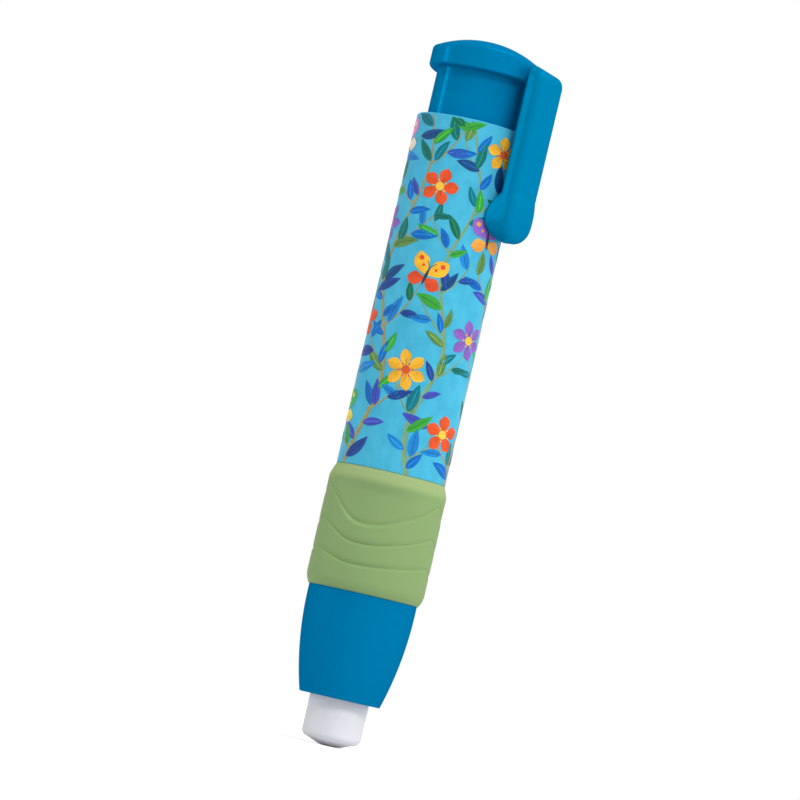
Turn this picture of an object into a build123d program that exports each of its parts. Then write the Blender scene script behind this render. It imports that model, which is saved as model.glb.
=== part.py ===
"""A push eraser pen: a rounded triangular holder that feeds a round stick of eraser when its cap is pressed.

Millimetres. The pen stands on its eraser, with +Z along it. The origin is the middle of the eraser's end,
the front face of the barrel looks toward -Y, and the clip is on the corner to the right of that face.
"""

import os
from math import asin, cos, degrees, radians, sin, sqrt, tan

from build123d import *

os.makedirs("parts", exist_ok=True)

# Heights along the pen
NOSE_BOTTOM = 7.95
NOSE_TOP = 25.6
GRIP_TOP = 46.2
BARREL_TOP = 106.6
CAP_TOP = 121.3

# The barrel's section: three bulged faces joined by three rounded corners
HALF_WIDTH = 9.25
CORNER_SPREAD = 4.25
FACE_BULGE = 8.0
FACE_ANGLES = (-90, 30, 150)
JAW_ANGLES = (90, 210, 330)
HALF_FACE_ANGLE = degrees(asin(CORNER_SPREAD / FACE_BULGE))
CLIP_ANGLE = -30

# Travel of the cap, with the gaps that are left when it is pressed, and travel of the clutch ring
STROKE = 7.8
PRESSED_GAP = 0.8
CHUCK_END_GAP = 0.2
RIM_BOTTOM = BARREL_TOP + STROKE + PRESSED_GAP
CLUTCH_TRAVEL = 3.0

# Eraser and the tube round it
ERASER_RADIUS = 5.0
ERASER_LENGTH = 84.0
ERASER_FLAT_RADIUS = 1.5
ERASER_CROWN = 1.3
ERASER_CROWN_BEND = 5.0
ERASER_EDGE = 1.0
CARRIER_INNER = 5.3
CARRIER_OUTER = 5.9
CARRIER_BOTTOM = 33.0
CARRIER_TOP = 104.0
FLANGE_RADIUS = 7.0
FLANGE_BOTTOM = 71.0
FLANGE_THICKNESS = 1.2

# Barrel
WRAP_THICKNESS = 0.15
WRAP_MARGIN = 0.1
GRIP_RECESS = 0.75
BARREL_WALL = 1.5
SPIGOT_BOTTOM = 20.5
SPIGOT_RADIUS = 7.75
MECHANISM_RADIUS = 7.05
MOUTH_ROUNDING = 0.2

# Nose cone
NOSE_HALF_WIDTH = 9.15
NOSE_ARC_RADIUS = 59.2
NOSE_ARC_TOP = 24.4
NOSE_SPREAD_LOSS = 3.45
NOSE_SECTIONS = 7
NOSE_EDGE = 0.2
MOUTH_RADIUS = 5.2
FRICTION_BOTTOM = 9.5
FRICTION_TOP = 11.5
FRICTION_OUTER = 6.1
FRICTION_INNER = 5.03
CHUCK_ROOM_BOTTOM = 12.0
CHUCK_ROOM_RADIUS = 6.7
CLUTCH_ROOM_BOTTOM = 18.0

# Grip
GRIP_HALF_WIDTH = 10.0
GRIP_EDGE = 1.1
GROOVE_DEPTH = 0.6
GROOVE_WIDTH = 0.9
GROOVE_REACH = 9.4
GROOVE_START = 5.35
GROOVES = ((30.0, 31.8), (33.5, 36.7), (36.65, 42.25))

# Chuck: three jaws that close on the eraser, the collar that carries them and the ring that shuts them
JAW_TIP = CHUCK_ROOM_BOTTOM + CHUCK_END_GAP + STROKE
JAW_HEAD_TOP = 25.0
JAW_PIVOT = 31.0
JAW_HINGE_GAP = 0.05
JAW_GRIP_RADIUS = 5.05
JAW_TIP_RADIUS = 6.15
JAW_TAPER = tan(radians(5))
JAW_ARM_INNER = 5.25
JAW_ARM_OUTER = 5.65
JAW_ARC = 110
JAW_TEETH = 4
JAW_TOOTH_DEPTH = 0.2
COLLAR_TOP = 37.5
COLLAR_RADIUS = 6.35
CLUTCH_BOTTOM = CLUTCH_ROOM_BOTTOM + CLUTCH_TRAVEL
CLUTCH_TOP = 24.0
CLUTCH_RADIUS = 6.9
CLUTCH_CLEARANCE = 0.02

# Inner sleeve and spring
SLEEVE_TOP = 50.0
SLEEVE_BORE = 6.6
SLEEVE_LIP = 1.0
SLEEVE_LIP_RADIUS = 6.15
SPRING_RADIUS = 6.5
WIRE_RADIUS = 0.45
SPRING_TURNS = 7
SPRING_CLEARANCE = 0.02

# Push cap
PLUNGER_INSET = 1.58
PLUNGER_BOTTOM = 88.0
CAP_BORE = 5.35
CAP_BORE_TOP = 118.9
DOME_RADIUS = 17.8
DOME_REACH = 12.0
SHOULDER_ROUNDING = 1.0
RIM_ROUNDING = 0.3

# Clip
CLIP_WIDTH = 7.9
CLIP_INNER = 10.85
CLIP_INNER_TOP = 118.1
CLIP_OUTER = 14.15
CLIP_OUTER_TOP = 116.75
CLIP_OUTER_LOW = 13.95
CLIP_MIDDLE = 12.3
CLIP_CORNER = 2.0
CLIP_FOOT = 87.95
CLIP_FOOT_INNER = 10.6
CLIP_FOOT_OUTER = 13.5
CLIP_TONGUE = 3.3
BULB_TOP = 95.6
BULB_MIDDLE = 91.4
BULB_OUTER = 14.2
BULB_INNER = 8.6
BULB_CLEARANCE = 0.07
CLIP_OUTER_EDGE = 1.7
CLIP_INNER_EDGE = 0.5
CLIP_ROOT = 8.2
CLIP_ROOT_TOP = 117.2
CLIP_ROOT_WIDTH = 3.2
CLIP_ROOT_OVERLAP = 0.8
CLIP_ROOT_FILLET = 0.5
CLIP_SLOT_CLEARANCE = 0.03


def heading(angle):
    """The unit vector at this angle round the pen."""
    return Vector(cos(radians(angle)), sin(radians(angle)), 0)


def radial_plane(angle):
    """A plane through the pen's axis: its x runs outward at this angle, and its y runs up."""
    return Plane(origin=(0, 0, 0), x_dir=heading(angle), z_dir=heading(angle).cross(Vector(0, 0, 1)))


def rounded_triangle(half_width, spread=CORNER_SPREAD):
    """The pen's section. half_width is half of its width across two corners, seen square to the front
    face, and spread is how far the centres of those corners lie from the middle in that view."""
    corner_radius = half_width - spread
    corner_distance = spread / cos(radians(30))
    face_radius = corner_radius + spread / sin(radians(HALF_FACE_ANGLE))
    reach = face_radius - corner_radius
    face_offset = sqrt(reach**2 - spread**2) - corner_distance / 2
    corner_half_angle = 60 - HALF_FACE_ANGLE
    with BuildSketch(mode=Mode.PRIVATE) as section:
        with BuildLine():
            for face_angle in FACE_ANGLES:
                face_centre = heading(face_angle) * -face_offset
                corner_angle = face_angle + 60
                corner_centre = heading(corner_angle) * corner_distance
                face_start = face_angle - HALF_FACE_ANGLE
                corner_start = corner_angle - corner_half_angle
                CenterArc(face_centre, face_radius, face_start, 2 * HALF_FACE_ANGLE)
                CenterArc(corner_centre, corner_radius, corner_start, 2 * corner_half_angle)
        make_face()
    return section.sketch


def clip_rim(edges, outer):
    """The edges round the clip's outer or inner face, with the foot's, but no seams across or through it."""
    rim = ShapeList()
    for edge in edges:
        reach = edge.center().dot(heading(CLIP_ANGLE))
        aside = abs(edge.center().dot(heading(CLIP_ANGLE + 90)))
        through = abs((edge % 0.5).dot(heading(CLIP_ANGLE))) > 0.99
        on_rim = aside > CLIP_WIDTH / 4 or edge.center().Z < CLIP_FOOT + CLIP_OUTER_EDGE
        if on_rim and not through and (reach > CLIP_MIDDLE) == outer:
            rim.append(edge)
    return rim


def bore(radius, bottom, top):
    """Cut a round hole on the pen's axis, between two heights."""
    with BuildSketch(Plane.XY.offset(bottom)) as hole:
        Circle(radius)
    extrude(hole.sketch, amount=top - bottom, mode=Mode.SUBTRACT)


# Barrel: the printed stretch, the thinner core under the grip, and the spigot that holds the nose
with BuildPart() as barrel:
    with BuildSketch(Plane.XY.offset(SPIGOT_BOTTOM)):
        Circle(SPIGOT_RADIUS)
    extrude(amount=NOSE_TOP - SPIGOT_BOTTOM)
    with BuildSketch(Plane.XY.offset(NOSE_TOP)):
        add(rounded_triangle(HALF_WIDTH - GRIP_RECESS))
    extrude(amount=GRIP_TOP - NOSE_TOP)
    with BuildSketch(Plane.XY.offset(GRIP_TOP)):
        add(rounded_triangle(HALF_WIDTH - WRAP_THICKNESS))
    extrude(amount=BARREL_TOP - GRIP_TOP)
    fillet(barrel.edges().group_by(Axis.Z)[-1], MOUTH_ROUNDING)
    bore(MECHANISM_RADIUS, SPIGOT_BOTTOM, SLEEVE_TOP)
    with BuildSketch(Plane.XY.offset(SLEEVE_TOP)):
        add(rounded_triangle(HALF_WIDTH - BARREL_WALL))
    extrude(amount=BARREL_TOP - SLEEVE_TOP, mode=Mode.SUBTRACT)
barrel.part.label = "barrel"
export_step(barrel.part, "parts/barrel.step")

# Printed film, wrapped round the barrel between the grip and the mouth
with BuildPart() as printed_wrap:
    with BuildSketch(Plane.XY.offset(GRIP_TOP)):
        add(rounded_triangle(HALF_WIDTH))
        add(rounded_triangle(HALF_WIDTH - WRAP_THICKNESS), mode=Mode.SUBTRACT)
    extrude(amount=BARREL_TOP - WRAP_MARGIN - MOUTH_ROUNDING - GRIP_TOP)
printed_wrap.part.label = "printed_wrap"
export_step(printed_wrap.part, "parts/printed_wrap.step")

# Nose cone: a long arc in profile, from the barrel's section to a nearly round mouth
with BuildPart() as nose_cone:
    section_step = (NOSE_ARC_TOP - NOSE_BOTTOM) / (NOSE_SECTIONS - 1)
    heights = [NOSE_BOTTOM + section_step * i for i in range(NOSE_SECTIONS)]
    for height in heights:
        drop = NOSE_ARC_TOP - height
        narrowing = NOSE_ARC_RADIUS - sqrt(NOSE_ARC_RADIUS**2 - drop**2)
        spread_loss = NOSE_SPREAD_LOSS * (drop / (NOSE_ARC_TOP - NOSE_BOTTOM)) ** 2
        with BuildSketch(Plane.XY.offset(height)):
            add(rounded_triangle(NOSE_HALF_WIDTH - narrowing, CORNER_SPREAD - spread_loss))
    loft()
    with BuildSketch(Plane.XY.offset(NOSE_ARC_TOP)):
        add(rounded_triangle(NOSE_HALF_WIDTH))
    extrude(amount=NOSE_TOP - NOSE_ARC_TOP)
    fillet(nose_cone.edges().group_by(Axis.Z)[0], NOSE_EDGE)
    bore(MOUTH_RADIUS, NOSE_BOTTOM, CHUCK_ROOM_BOTTOM)
    bore(FRICTION_OUTER, FRICTION_BOTTOM, FRICTION_TOP)
    bore(CHUCK_ROOM_RADIUS, CHUCK_ROOM_BOTTOM, CLUTCH_ROOM_BOTTOM)
    bore(MECHANISM_RADIUS, CLUTCH_ROOM_BOTTOM, SPIGOT_BOTTOM)
    bore(SPIGOT_RADIUS, SPIGOT_BOTTOM, NOSE_TOP)
nose_cone.part.label = "nose_cone"
export_step(nose_cone.part, "parts/nose_cone.step")

# Grip: a soft sleeve that stands a little proud, with three sagging grooves on each face
with BuildPart() as grip_grooves:
    for face_angle in FACE_ANGLES:
        outward = heading(face_angle)
        with BuildSketch(Plane(outward * GROOVE_START, x_dir=heading(face_angle + 90), z_dir=outward)):
            for low, high in GROOVES:
                with BuildLine():
                    lower = ThreePointArc((-GROOVE_REACH, high), (0, low), (GROOVE_REACH, high))
                    upper = ThreePointArc(
                        (-GROOVE_REACH, high + GROOVE_WIDTH),
                        (0, low + GROOVE_WIDTH),
                        (GROOVE_REACH, high + GROOVE_WIDTH),
                    )
                    Line(lower @ 0, upper @ 0)
                    Line(lower @ 1, upper @ 1)
                make_face()
        extrude(amount=GRIP_HALF_WIDTH - GROOVE_START)
    with BuildSketch(Plane.XY.offset(NOSE_TOP)):
        add(rounded_triangle(GRIP_HALF_WIDTH - GROOVE_DEPTH))
    extrude(amount=GRIP_TOP - NOSE_TOP, mode=Mode.SUBTRACT)

with BuildPart() as grip_sleeve:
    with BuildSketch(Plane.XY.offset(NOSE_TOP)):
        add(rounded_triangle(GRIP_HALF_WIDTH))
    extrude(amount=GRIP_TOP - NOSE_TOP)
    ends = grip_sleeve.edges().group_by(Axis.Z)
    fillet(ends[0] + ends[-1], GRIP_EDGE)
    add(grip_grooves.part, mode=Mode.SUBTRACT)
    with BuildSketch(Plane.XY.offset(NOSE_TOP)):
        add(rounded_triangle(HALF_WIDTH - GRIP_RECESS))
    extrude(amount=GRIP_TOP - NOSE_TOP, mode=Mode.SUBTRACT)
grip_sleeve.part.label = "grip_sleeve"
export_step(grip_sleeve.part, "parts/grip_sleeve.step")

# Friction ring: soft, in a groove of the nose, with a round inner bead that rubs on the eraser
with BuildPart() as friction_ring:
    middle = (FRICTION_BOTTOM + FRICTION_TOP) / 2
    bead = (FRICTION_TOP - FRICTION_BOTTOM) / 2
    with BuildSketch(radial_plane(0)):
        with BuildLine():
            Polyline(
                (FRICTION_INNER + bead / 2, FRICTION_BOTTOM),
                (FRICTION_OUTER, FRICTION_BOTTOM),
                (FRICTION_OUTER, FRICTION_TOP),
                (FRICTION_INNER + bead / 2, FRICTION_TOP),
            )
            ThreePointArc(
                (FRICTION_INNER + bead / 2, FRICTION_TOP),
                (FRICTION_INNER, middle),
                (FRICTION_INNER + bead / 2, FRICTION_BOTTOM),
            )
        make_face()
    revolve(axis=Axis.Z)
friction_ring.part.label = "friction_ring"
export_step(friction_ring.part, "parts/friction_ring.step")

# Chuck jaws: a tapered head with teeth, on a thin arm that hinges at the collar
jaw_head_radius = JAW_TIP_RADIUS - JAW_TAPER * (JAW_HEAD_TOP - JAW_TIP)
tooth_pitch = (JAW_HEAD_TOP - JAW_TIP) / (JAW_TEETH + 1)
for number, jaw_angle in enumerate(JAW_ANGLES, start=1):
    with BuildPart() as chuck_jaw:
        with BuildSketch(radial_plane(jaw_angle - JAW_ARC / 2)):
            with BuildLine():
                Polyline(
                    (JAW_GRIP_RADIUS, JAW_TIP),
                    (JAW_TIP_RADIUS, JAW_TIP),
                    (jaw_head_radius, JAW_HEAD_TOP),
                    (JAW_ARM_OUTER, JAW_HEAD_TOP),
                    (JAW_ARM_OUTER, JAW_PIVOT - JAW_HINGE_GAP),
                    (JAW_ARM_INNER, JAW_PIVOT - JAW_HINGE_GAP),
                    (JAW_ARM_INNER, JAW_HEAD_TOP),
                    (JAW_GRIP_RADIUS, JAW_HEAD_TOP),
                    close=True,
                )
            make_face()
            for tooth in range(JAW_TEETH):
                tooth_height = JAW_TIP + tooth_pitch * (tooth + 1)
                with Locations((JAW_GRIP_RADIUS, tooth_height)):
                    Rectangle(2 * JAW_TOOTH_DEPTH, tooth_pitch / 2, mode=Mode.SUBTRACT)
        revolve(axis=Axis.Z, revolution_arc=JAW_ARC)
    name = f"chuck_jaw_{number}"
    chuck_jaw.part.label = name
    export_step(chuck_jaw.part, f"parts/{name}.step")

# Chuck collar: carries the jaws below, and holds the end of the carrier tube in its socket
with BuildPart() as chuck_collar:
    with BuildSketch(Plane.XY.offset(JAW_PIVOT)):
        Circle(COLLAR_RADIUS)
    extrude(amount=COLLAR_TOP - JAW_PIVOT)
    bore(JAW_ARM_INNER, JAW_PIVOT, CARRIER_BOTTOM)
    bore(CARRIER_OUTER, CARRIER_BOTTOM, COLLAR_TOP)
chuck_collar.part.label = "chuck_collar"
export_step(chuck_collar.part, "parts/chuck_collar.step")

# Clutch ring: its tapered bore fits the jaws' heads
with BuildPart() as clutch_ring:
    bottom_bore = JAW_TIP_RADIUS - JAW_TAPER * (CLUTCH_BOTTOM - JAW_TIP) + CLUTCH_CLEARANCE
    top_bore = JAW_TIP_RADIUS - JAW_TAPER * (CLUTCH_TOP - JAW_TIP) + CLUTCH_CLEARANCE
    with BuildSketch(radial_plane(0)):
        with BuildLine():
            Polyline(
                (bottom_bore, CLUTCH_BOTTOM),
                (CLUTCH_RADIUS, CLUTCH_BOTTOM),
                (CLUTCH_RADIUS, CLUTCH_TOP),
                (top_bore, CLUTCH_TOP),
                close=True,
            )
        make_face()
    revolve(axis=Axis.Z)
clutch_ring.part.label = "clutch_ring"
export_step(clutch_ring.part, "parts/clutch_ring.step")

# Mechanism sleeve: fixed in the barrel, a seat for the clutch ring below and for the spring above
with BuildPart() as mechanism_sleeve:
    with BuildSketch(Plane.XY.offset(CLUTCH_TOP)):
        Circle(MECHANISM_RADIUS)
    extrude(amount=SLEEVE_TOP - CLUTCH_TOP)
    bore(SLEEVE_BORE, CLUTCH_TOP, SLEEVE_TOP - SLEEVE_LIP)
    bore(SLEEVE_LIP_RADIUS, SLEEVE_TOP - SLEEVE_LIP, SLEEVE_TOP)
mechanism_sleeve.part.label = "mechanism_sleeve"
export_step(mechanism_sleeve.part, "parts/mechanism_sleeve.step")

# Return spring: between the sleeve's lip and the carrier tube's flange
with BuildPart() as return_spring:
    spring_bottom = SLEEVE_TOP + WIRE_RADIUS + SPRING_CLEARANCE
    spring_height = FLANGE_BOTTOM - WIRE_RADIUS - SPRING_CLEARANCE - spring_bottom
    with BuildLine() as spring_path:
        Helix(spring_height / SPRING_TURNS, spring_height, SPRING_RADIUS, center=(0, 0, spring_bottom))
    with BuildSketch(Plane(spring_path.line @ 0, z_dir=spring_path.line % 0)):
        Circle(WIRE_RADIUS)
    sweep(is_frenet=True)
return_spring.part.label = "return_spring"
export_step(return_spring.part, "parts/return_spring.step")

# Carrier tube: holds the eraser's length, and its flange rests on the spring
with BuildPart() as carrier_tube:
    with BuildSketch(Plane.XY.offset(CARRIER_BOTTOM)):
        Circle(CARRIER_OUTER)
    extrude(amount=CARRIER_TOP - CARRIER_BOTTOM)
    with BuildSketch(Plane.XY.offset(FLANGE_BOTTOM)):
        Circle(FLANGE_RADIUS)
    extrude(amount=FLANGE_THICKNESS)
    bore(CARRIER_INNER, CARRIER_BOTTOM, CARRIER_TOP)
carrier_tube.part.label = "carrier_tube"
export_step(carrier_tube.part, "parts/carrier_tube.step")

# Eraser stick: a slightly crowned and rubbed end, flat in the middle
with BuildPart() as eraser_stick:
    with BuildSketch(radial_plane(0)) as eraser_side:
        with BuildLine():
            Polyline(
                (0, 0),
                (ERASER_FLAT_RADIUS, 0),
                (ERASER_RADIUS, ERASER_CROWN),
                (ERASER_RADIUS, ERASER_LENGTH),
                (0, ERASER_LENGTH),
                close=True,
            )
        make_face()
        fillet(eraser_side.vertices().sort_by_distance((ERASER_FLAT_RADIUS, 0))[0], ERASER_CROWN_BEND)
        fillet(eraser_side.vertices().sort_by_distance((ERASER_RADIUS, ERASER_CROWN))[0], ERASER_EDGE)
    revolve(axis=Axis.Z)
eraser_stick.part.label = "eraser_stick"
export_step(eraser_stick.part, "parts/eraser_stick.step")

# Push cap: a hollow plunger in the barrel's section, with a domed rim above it
with BuildPart() as push_cap:
    with BuildSketch(Plane.XY.offset(RIM_BOTTOM)):
        add(rounded_triangle(HALF_WIDTH))
    extrude(amount=CAP_TOP - RIM_BOTTOM)
    with BuildSketch(radial_plane(0)):
        with BuildLine():
            dome_angle = degrees(asin(DOME_REACH / DOME_RADIUS))
            dome = CenterArc((0, CAP_TOP - DOME_RADIUS), DOME_RADIUS, 90 - dome_angle, dome_angle)
            Polyline(dome @ 1, (0, RIM_BOTTOM), (DOME_REACH, RIM_BOTTOM), dome @ 0)
        make_face()
    revolve(axis=Axis.Z, mode=Mode.INTERSECT)
    fillet(push_cap.faces().sort_by(Axis.Z)[-1].edges(), SHOULDER_ROUNDING)
    fillet(push_cap.edges().group_by(Axis.Z)[0], RIM_ROUNDING)
    with BuildSketch(radial_plane(CLIP_ANGLE)):
        slot_inner = CLIP_ROOT - CLIP_SLOT_CLEARANCE
        slot_depth = HALF_WIDTH + CORNER_SPREAD - slot_inner
        slot_height = CLIP_ROOT_TOP + CLIP_SLOT_CLEARANCE - RIM_BOTTOM
        with Locations((slot_inner, RIM_BOTTOM)):
            Rectangle(slot_depth, slot_height, align=(Align.MIN, Align.MIN))
    extrude(amount=CLIP_ROOT_WIDTH / 2 + CLIP_SLOT_CLEARANCE, both=True, mode=Mode.SUBTRACT)
    with BuildSketch(Plane.XY.offset(PLUNGER_BOTTOM)):
        add(rounded_triangle(HALF_WIDTH - PLUNGER_INSET))
    extrude(amount=RIM_BOTTOM - PLUNGER_BOTTOM)
    bore(CARRIER_OUTER, PLUNGER_BOTTOM, CARRIER_TOP)
    bore(CAP_BORE, CARRIER_TOP, CAP_BORE_TOP)
push_cap.part.label = "push_cap"
export_step(push_cap.part, "parts/push_cap.step")

# Pocket clip: a soft-edged arm with a tongue for its foot, whose bulb hugs the barrel's corner, and a
# narrow root that is set in the rim's slot
with BuildPart() as pocket_clip:
    with BuildSketch(radial_plane(CLIP_ANGLE)) as clip_side:
        with BuildLine():
            outer_bulb = Spline(
                (CLIP_FOOT_OUTER, CLIP_FOOT),
                (BULB_OUTER, BULB_MIDDLE),
                (CLIP_OUTER_LOW, BULB_TOP),
            )
            inner_bulb = Spline(
                (CLIP_FOOT_INNER, CLIP_FOOT),
                (BULB_INNER, BULB_MIDDLE),
                (CLIP_INNER, BULB_TOP),
            )
            Line(inner_bulb @ 0, outer_bulb @ 0)
            Polyline(
                inner_bulb @ 1,
                (CLIP_INNER, CLIP_INNER_TOP),
                (CLIP_OUTER, CLIP_OUTER_TOP),
                outer_bulb @ 1,
            )
        make_face()
        fillet(clip_side.vertices().sort_by_distance((CLIP_OUTER, CLIP_OUTER_TOP))[0], CLIP_CORNER)
    extrude(amount=CLIP_WIDTH / 2, both=True)
    clip_back = Plane((0, 0, 0), x_dir=heading(CLIP_ANGLE + 90), z_dir=heading(CLIP_ANGLE))
    with BuildSketch(clip_back) as clip_face:
        with Locations((0, CLIP_FOOT)):
            Rectangle(CLIP_WIDTH, CAP_TOP - CLIP_FOOT, align=(Align.CENTER, Align.MIN))
        fillet(clip_face.vertices().group_by(Axis.Y)[0], CLIP_TONGUE)
    extrude(amount=2 * CLIP_OUTER, mode=Mode.INTERSECT)
    fillet(clip_rim(pocket_clip.edges(), outer=True), CLIP_OUTER_EDGE)
    fillet(clip_rim(pocket_clip.edges(), outer=False), CLIP_INNER_EDGE)
    with BuildSketch(Plane.XY.offset(CLIP_FOOT)):
        add(rounded_triangle(HALF_WIDTH + BULB_CLEARANCE))
    extrude(amount=BULB_TOP - CLIP_FOOT, mode=Mode.SUBTRACT)
    with BuildSketch(radial_plane(CLIP_ANGLE)) as clip_root:
        with Locations((CLIP_ROOT, RIM_BOTTOM)):
            root_depth = CLIP_INNER + CLIP_ROOT_OVERLAP - CLIP_ROOT
            Rectangle(root_depth, CLIP_ROOT_TOP - RIM_BOTTOM, align=(Align.MIN, Align.MIN))
    extrude(amount=CLIP_ROOT_WIDTH / 2, both=True)
    root_corner = heading(CLIP_ANGLE) * CLIP_INNER + Vector(0, 0, RIM_BOTTOM)
    fillet(pocket_clip.edges().sort_by_distance(root_corner)[0], CLIP_ROOT_FILLET)
pocket_clip.part.label = "pocket_clip"
export_step(pocket_clip.part, "parts/pocket_clip.step")
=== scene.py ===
# %% [markdown]
# A push eraser pen: a fat, rounded triangular holder that feeds a round stick of eraser.
# The working parts come from the frame, already at their real size. This lesson dresses them:
# it sets up a plain studio, gives each plastic and rubber its finish, models the soft grip with
# its three sagging ledges and the coil of the return spring, and prints a painted garden on the
# barrel's film.

# %% Load the frame
import random
from math import asin, atan2, cos, pi, radians, sin, tau

import bmesh
import bpy
from mathutils import Matrix, Vector


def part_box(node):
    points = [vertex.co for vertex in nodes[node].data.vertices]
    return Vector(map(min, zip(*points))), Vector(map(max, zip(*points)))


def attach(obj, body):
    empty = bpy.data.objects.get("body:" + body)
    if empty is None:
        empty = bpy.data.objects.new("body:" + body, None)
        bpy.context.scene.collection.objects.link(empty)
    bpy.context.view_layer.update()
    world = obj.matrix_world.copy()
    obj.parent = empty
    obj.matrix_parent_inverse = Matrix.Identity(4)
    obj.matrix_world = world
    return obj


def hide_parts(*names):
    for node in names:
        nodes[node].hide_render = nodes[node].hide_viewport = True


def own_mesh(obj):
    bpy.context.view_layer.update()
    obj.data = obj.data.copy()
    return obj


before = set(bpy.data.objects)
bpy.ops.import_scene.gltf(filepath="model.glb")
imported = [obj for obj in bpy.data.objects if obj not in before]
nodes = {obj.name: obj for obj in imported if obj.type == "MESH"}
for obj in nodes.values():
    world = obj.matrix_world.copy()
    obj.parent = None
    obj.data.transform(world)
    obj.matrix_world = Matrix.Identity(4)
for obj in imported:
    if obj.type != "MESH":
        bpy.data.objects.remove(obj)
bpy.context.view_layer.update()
MM = 0.001

# %% [markdown]
# The photograph looks square at the pen's front face from about half a metre, with the lens
# level with the nose, so the edges near the cap curve upwards. The pen leans 13 degrees in the
# picture. Turning the camera about its own line of sight gives the same lean and leaves the pen
# upright in its own frame.

# %% Camera
CAMERA_AZIMUTH = radians(2)
CAMERA_DISTANCE = 530 * MM
CAMERA_HEIGHT = 8.5 * MM
CAMERA_ROLL = radians(13)
AIM = Vector((-1.39, 0, 58.9)) * MM
FRAME_WIDTH = 134.1 * MM
SENSOR_WIDTH = 36.0
NEAREST_SEEN = 0.01

camera_data = bpy.data.cameras.new("camera")
camera = bpy.data.objects.new("camera", camera_data)
bpy.context.scene.collection.objects.link(camera)
bpy.context.scene.camera = camera
camera.location = Vector((sin(CAMERA_AZIMUTH), -cos(CAMERA_AZIMUTH), 0)) * CAMERA_DISTANCE
camera.location.z = CAMERA_HEIGHT
to_aim = AIM - camera.location
turn = to_aim.to_track_quat("-Z", "Y").to_matrix().to_4x4()
camera.rotation_euler = (turn @ Matrix.Rotation(CAMERA_ROLL, 4, "Z")).to_euler()
camera_data.sensor_width = SENSOR_WIDTH
camera_data.lens = SENSOR_WIDTH * to_aim.length / FRAME_WIDTH
camera_data.clip_start = NEAREST_SEEN
print("lens in mm:", round(camera_data.lens, 1))

# %% [markdown]
# A screen shows colours on a curve, and a shader takes them on a straight scale. One helper turns
# the first into the second, so the colours below can be written as they are read off a screen. The
# Standard view shows them again without a film look.

# %% Colour helper and view settings
def srgb(red, green, blue):
    """A colour given as 0 to 255, the way a screen shows it, as the linear colour a shader takes."""
    linear = []
    for channel in (red, green, blue):
        value = channel / 255
        linear.append(value / 12.92 if value <= 0.04045 else ((value + 0.055) / 1.055) ** 2.4)
    return (*linear, 1.0)


WHITE = (1, 1, 1, 1)
bpy.context.scene.view_settings.view_transform = "Standard"
print("a screen's middle grey, as a shader takes it:", round(srgb(128, 128, 128)[0], 3))

# %% [markdown]
# The finishes below are built from the same few nodes, so a helper makes each kind: a step of
# arithmetic, a range, a mix of two colours, and a noise. What goes into a sum or a mix is either a
# plain value or another node's output.

# %% Node helpers
def feed(tree, value, socket):
    """Links a node's output to a socket, or sets the socket to a plain value."""
    if isinstance(value, bpy.types.NodeSocket):
        tree.links.new(value, socket)
    else:
        socket.default_value = value


def combined(tree, operation, first, second):
    """Two numbers brought together by one arithmetic step."""
    node = tree.nodes.new("ShaderNodeMath")
    node.operation = operation
    feed(tree, first, node.inputs[0])
    feed(tree, second, node.inputs[1])
    return node.outputs[0]


def ranged(tree, value, low, high, start=0.0, stop=1.0, way="LINEAR"):
    """A number that runs from low to high while value runs from start to stop."""
    node = tree.nodes.new("ShaderNodeMapRange")
    node.interpolation_type = way
    node.inputs["From Min"].default_value = start
    node.inputs["From Max"].default_value = stop
    node.inputs["To Min"].default_value = low
    node.inputs["To Max"].default_value = high
    tree.links.new(value, node.inputs["Value"])
    return node.outputs["Result"]


def mixed(tree, share, first, second, way="MIX"):
    """A colour made of two others. At share 1 it is the second one, or the two multiplied."""
    node = tree.nodes.new("ShaderNodeMix")
    node.data_type = "RGBA"
    node.blend_type = way
    feed(tree, share, node.inputs["Factor"])
    feed(tree, first, node.inputs["A"])
    feed(tree, second, node.inputs["B"])
    return node.outputs["Result"]


def noise(tree, coordinates, scale, detail, roughness=0.5):
    """A cloudy value from 0 to 1."""
    node = tree.nodes.new("ShaderNodeTexNoise")
    node.inputs["Scale"].default_value = scale
    node.inputs["Detail"].default_value = detail
    node.inputs["Roughness"].default_value = roughness
    tree.links.new(coordinates, node.inputs["Vector"])
    return node.outputs["Fac"]


def object_place(tree):
    """The place on the surface in the pen's own frame, in metres."""
    return tree.nodes.new("ShaderNodeTexCoord").outputs["Object"]


def shader_of(finish):
    """The one shader node that a finish is set on."""
    return finish.node_tree.nodes["Principled BSDF"]


def seen_directly(tree):
    """A value that is 1 where the camera sees the surface, itself or in gloss or glass."""
    path = tree.nodes.new("ShaderNodeLightPath")
    in_gloss = path.outputs["Is Glossy Ray"]
    reflected = combined(tree, "MAXIMUM", in_gloss, path.outputs["Is Transmission Ray"])
    return combined(tree, "MAXIMUM", path.outputs["Is Camera Ray"], reflected)


print("materials so far:", len(bpy.data.materials))

# %% [markdown]
# The pen stands in a white room that lights it evenly and weakly. A room bright enough to look white
# would wash out the shapes, so the camera, gloss and glass see it white through Light Path, while it
# lights the pen at a lower level.

# %% Room
ROOM_LIGHT = 0.36

room = bpy.data.worlds.new("room")
bpy.context.scene.world = room
room.use_nodes = True
room_tree = room.node_tree
background = room_tree.nodes["Background"]
room_grey = (ROOM_LIGHT, ROOM_LIGHT, ROOM_LIGHT, 1)
room_shade = mixed(room_tree, seen_directly(room_tree), room_grey, WHITE)
room_tree.links.new(room_shade, background.inputs["Color"])
background.inputs["Strength"].default_value = 1.0
print("light from the room:", ROOM_LIGHT)

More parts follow.
